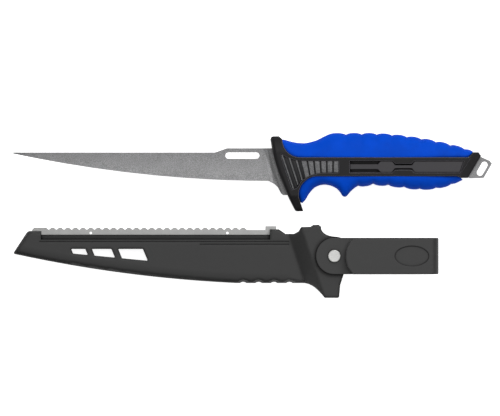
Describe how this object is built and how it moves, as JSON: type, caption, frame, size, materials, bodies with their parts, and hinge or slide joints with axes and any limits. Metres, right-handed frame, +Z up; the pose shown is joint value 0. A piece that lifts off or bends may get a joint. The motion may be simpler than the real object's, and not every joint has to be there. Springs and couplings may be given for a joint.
{
  "type": "fillet knife",
  "caption": "Fillet knife with a slim flexible blade and blue grip, lying beside its moulded sheath with scaler edge and swivelling belt clip.",
  "frame": {"origin": "centre of the bounding box at the surface that knife and sheath lie on", "axes": "+X from the blade tip towards the handle's tail, +Y from the cutting edge towards the spine, +Z up from the surface"},
  "size_m": [0.3292, 0.1132, 0.0321],
  "materials": {
    "blade_steel": "grey titanium-look bead-blasted coating, fine speckle",
    "core_black": "satin black glass-filled nylon",
    "grip_blue": "soft royal blue thermoplastic rubber",
    "pad_black": "finely textured dark grey rubber",
    "insert_grey": "semi-gloss dark grey plastic",
    "pin_steel": "plain steel pins",
    "sheath_charcoal": "charcoal moulded polypropylene, faint grain",
    "strip_steel": "light bead-blasted stainless steel",
    "rivet_steel": "satin aluminium rivet",
    "clip_charcoal": "charcoal moulded nylon, faint grain"
  },
  "bodies": {
    "knife": {"blade": "blade_steel", "handle_core_left": "core_black", "handle_core_right": "core_black", "grip_back": "grip_blue", "grip_belly": "grip_blue", "thumb_pad_left": "pad_black", "thumb_pad_right": "pad_black", "rail_insert_left": "insert_grey", "rail_insert_right": "insert_grey", "tang_pin_1": "pin_steel", "tang_pin_2": "pin_steel", "tang_pin_3": "pin_steel"},
    "sheath": {"sheath_front": "sheath_charcoal", "sheath_rear": "sheath_charcoal", "scaler_strip": "strip_steel", "clip_rivet": "rivet_steel", "rivet_washer": "rivet_steel"},
    "clip": {"belt_clip": "clip_charcoal"}
  },
  "joints": [
    {"name": "sheath_lift", "type": "slide", "parent": "knife", "child": "sheath", "axis": [0, 0, 1], "range_m": [0, 0.15]},
    {"name": "clip_swivel", "type": "hinge", "parent": "sheath", "child": "clip", "pos_m": [0.05605, -0.02795, 0.0221], "axis": [0, 0, 1], "continuous": true}
  ]
}
